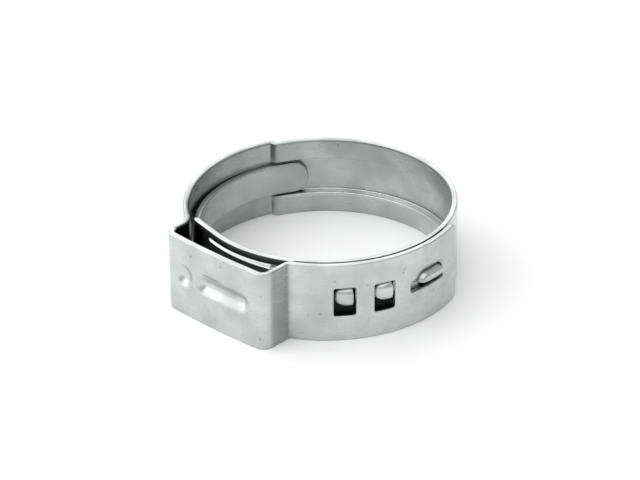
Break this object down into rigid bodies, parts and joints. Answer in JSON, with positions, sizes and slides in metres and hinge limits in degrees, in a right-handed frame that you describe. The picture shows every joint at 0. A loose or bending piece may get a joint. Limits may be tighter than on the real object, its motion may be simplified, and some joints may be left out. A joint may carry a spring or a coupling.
{
  "type": "ear hose clamp",
  "caption": "Stepless single-ear hose clamp: a ring of thin stainless strip with a pinch ear, a tongue in a channel, hooked windows and a guide lug.",
  "frame": {"origin": "centre of the round bore, at the middle of the strip's width", "axes": "+Z along the axis of the bore; the ear faces -Y; the free end of the outer layer lies on the +X side"},
  "size_m": [0.0235, 0.0248, 0.007],
  "materials": {
    "strip": "bright rolled stainless strip, lightly brushed along its length"
  },
  "bodies": {
    "root": {"clamp_band": "strip"}
  },
  "joints": []
}
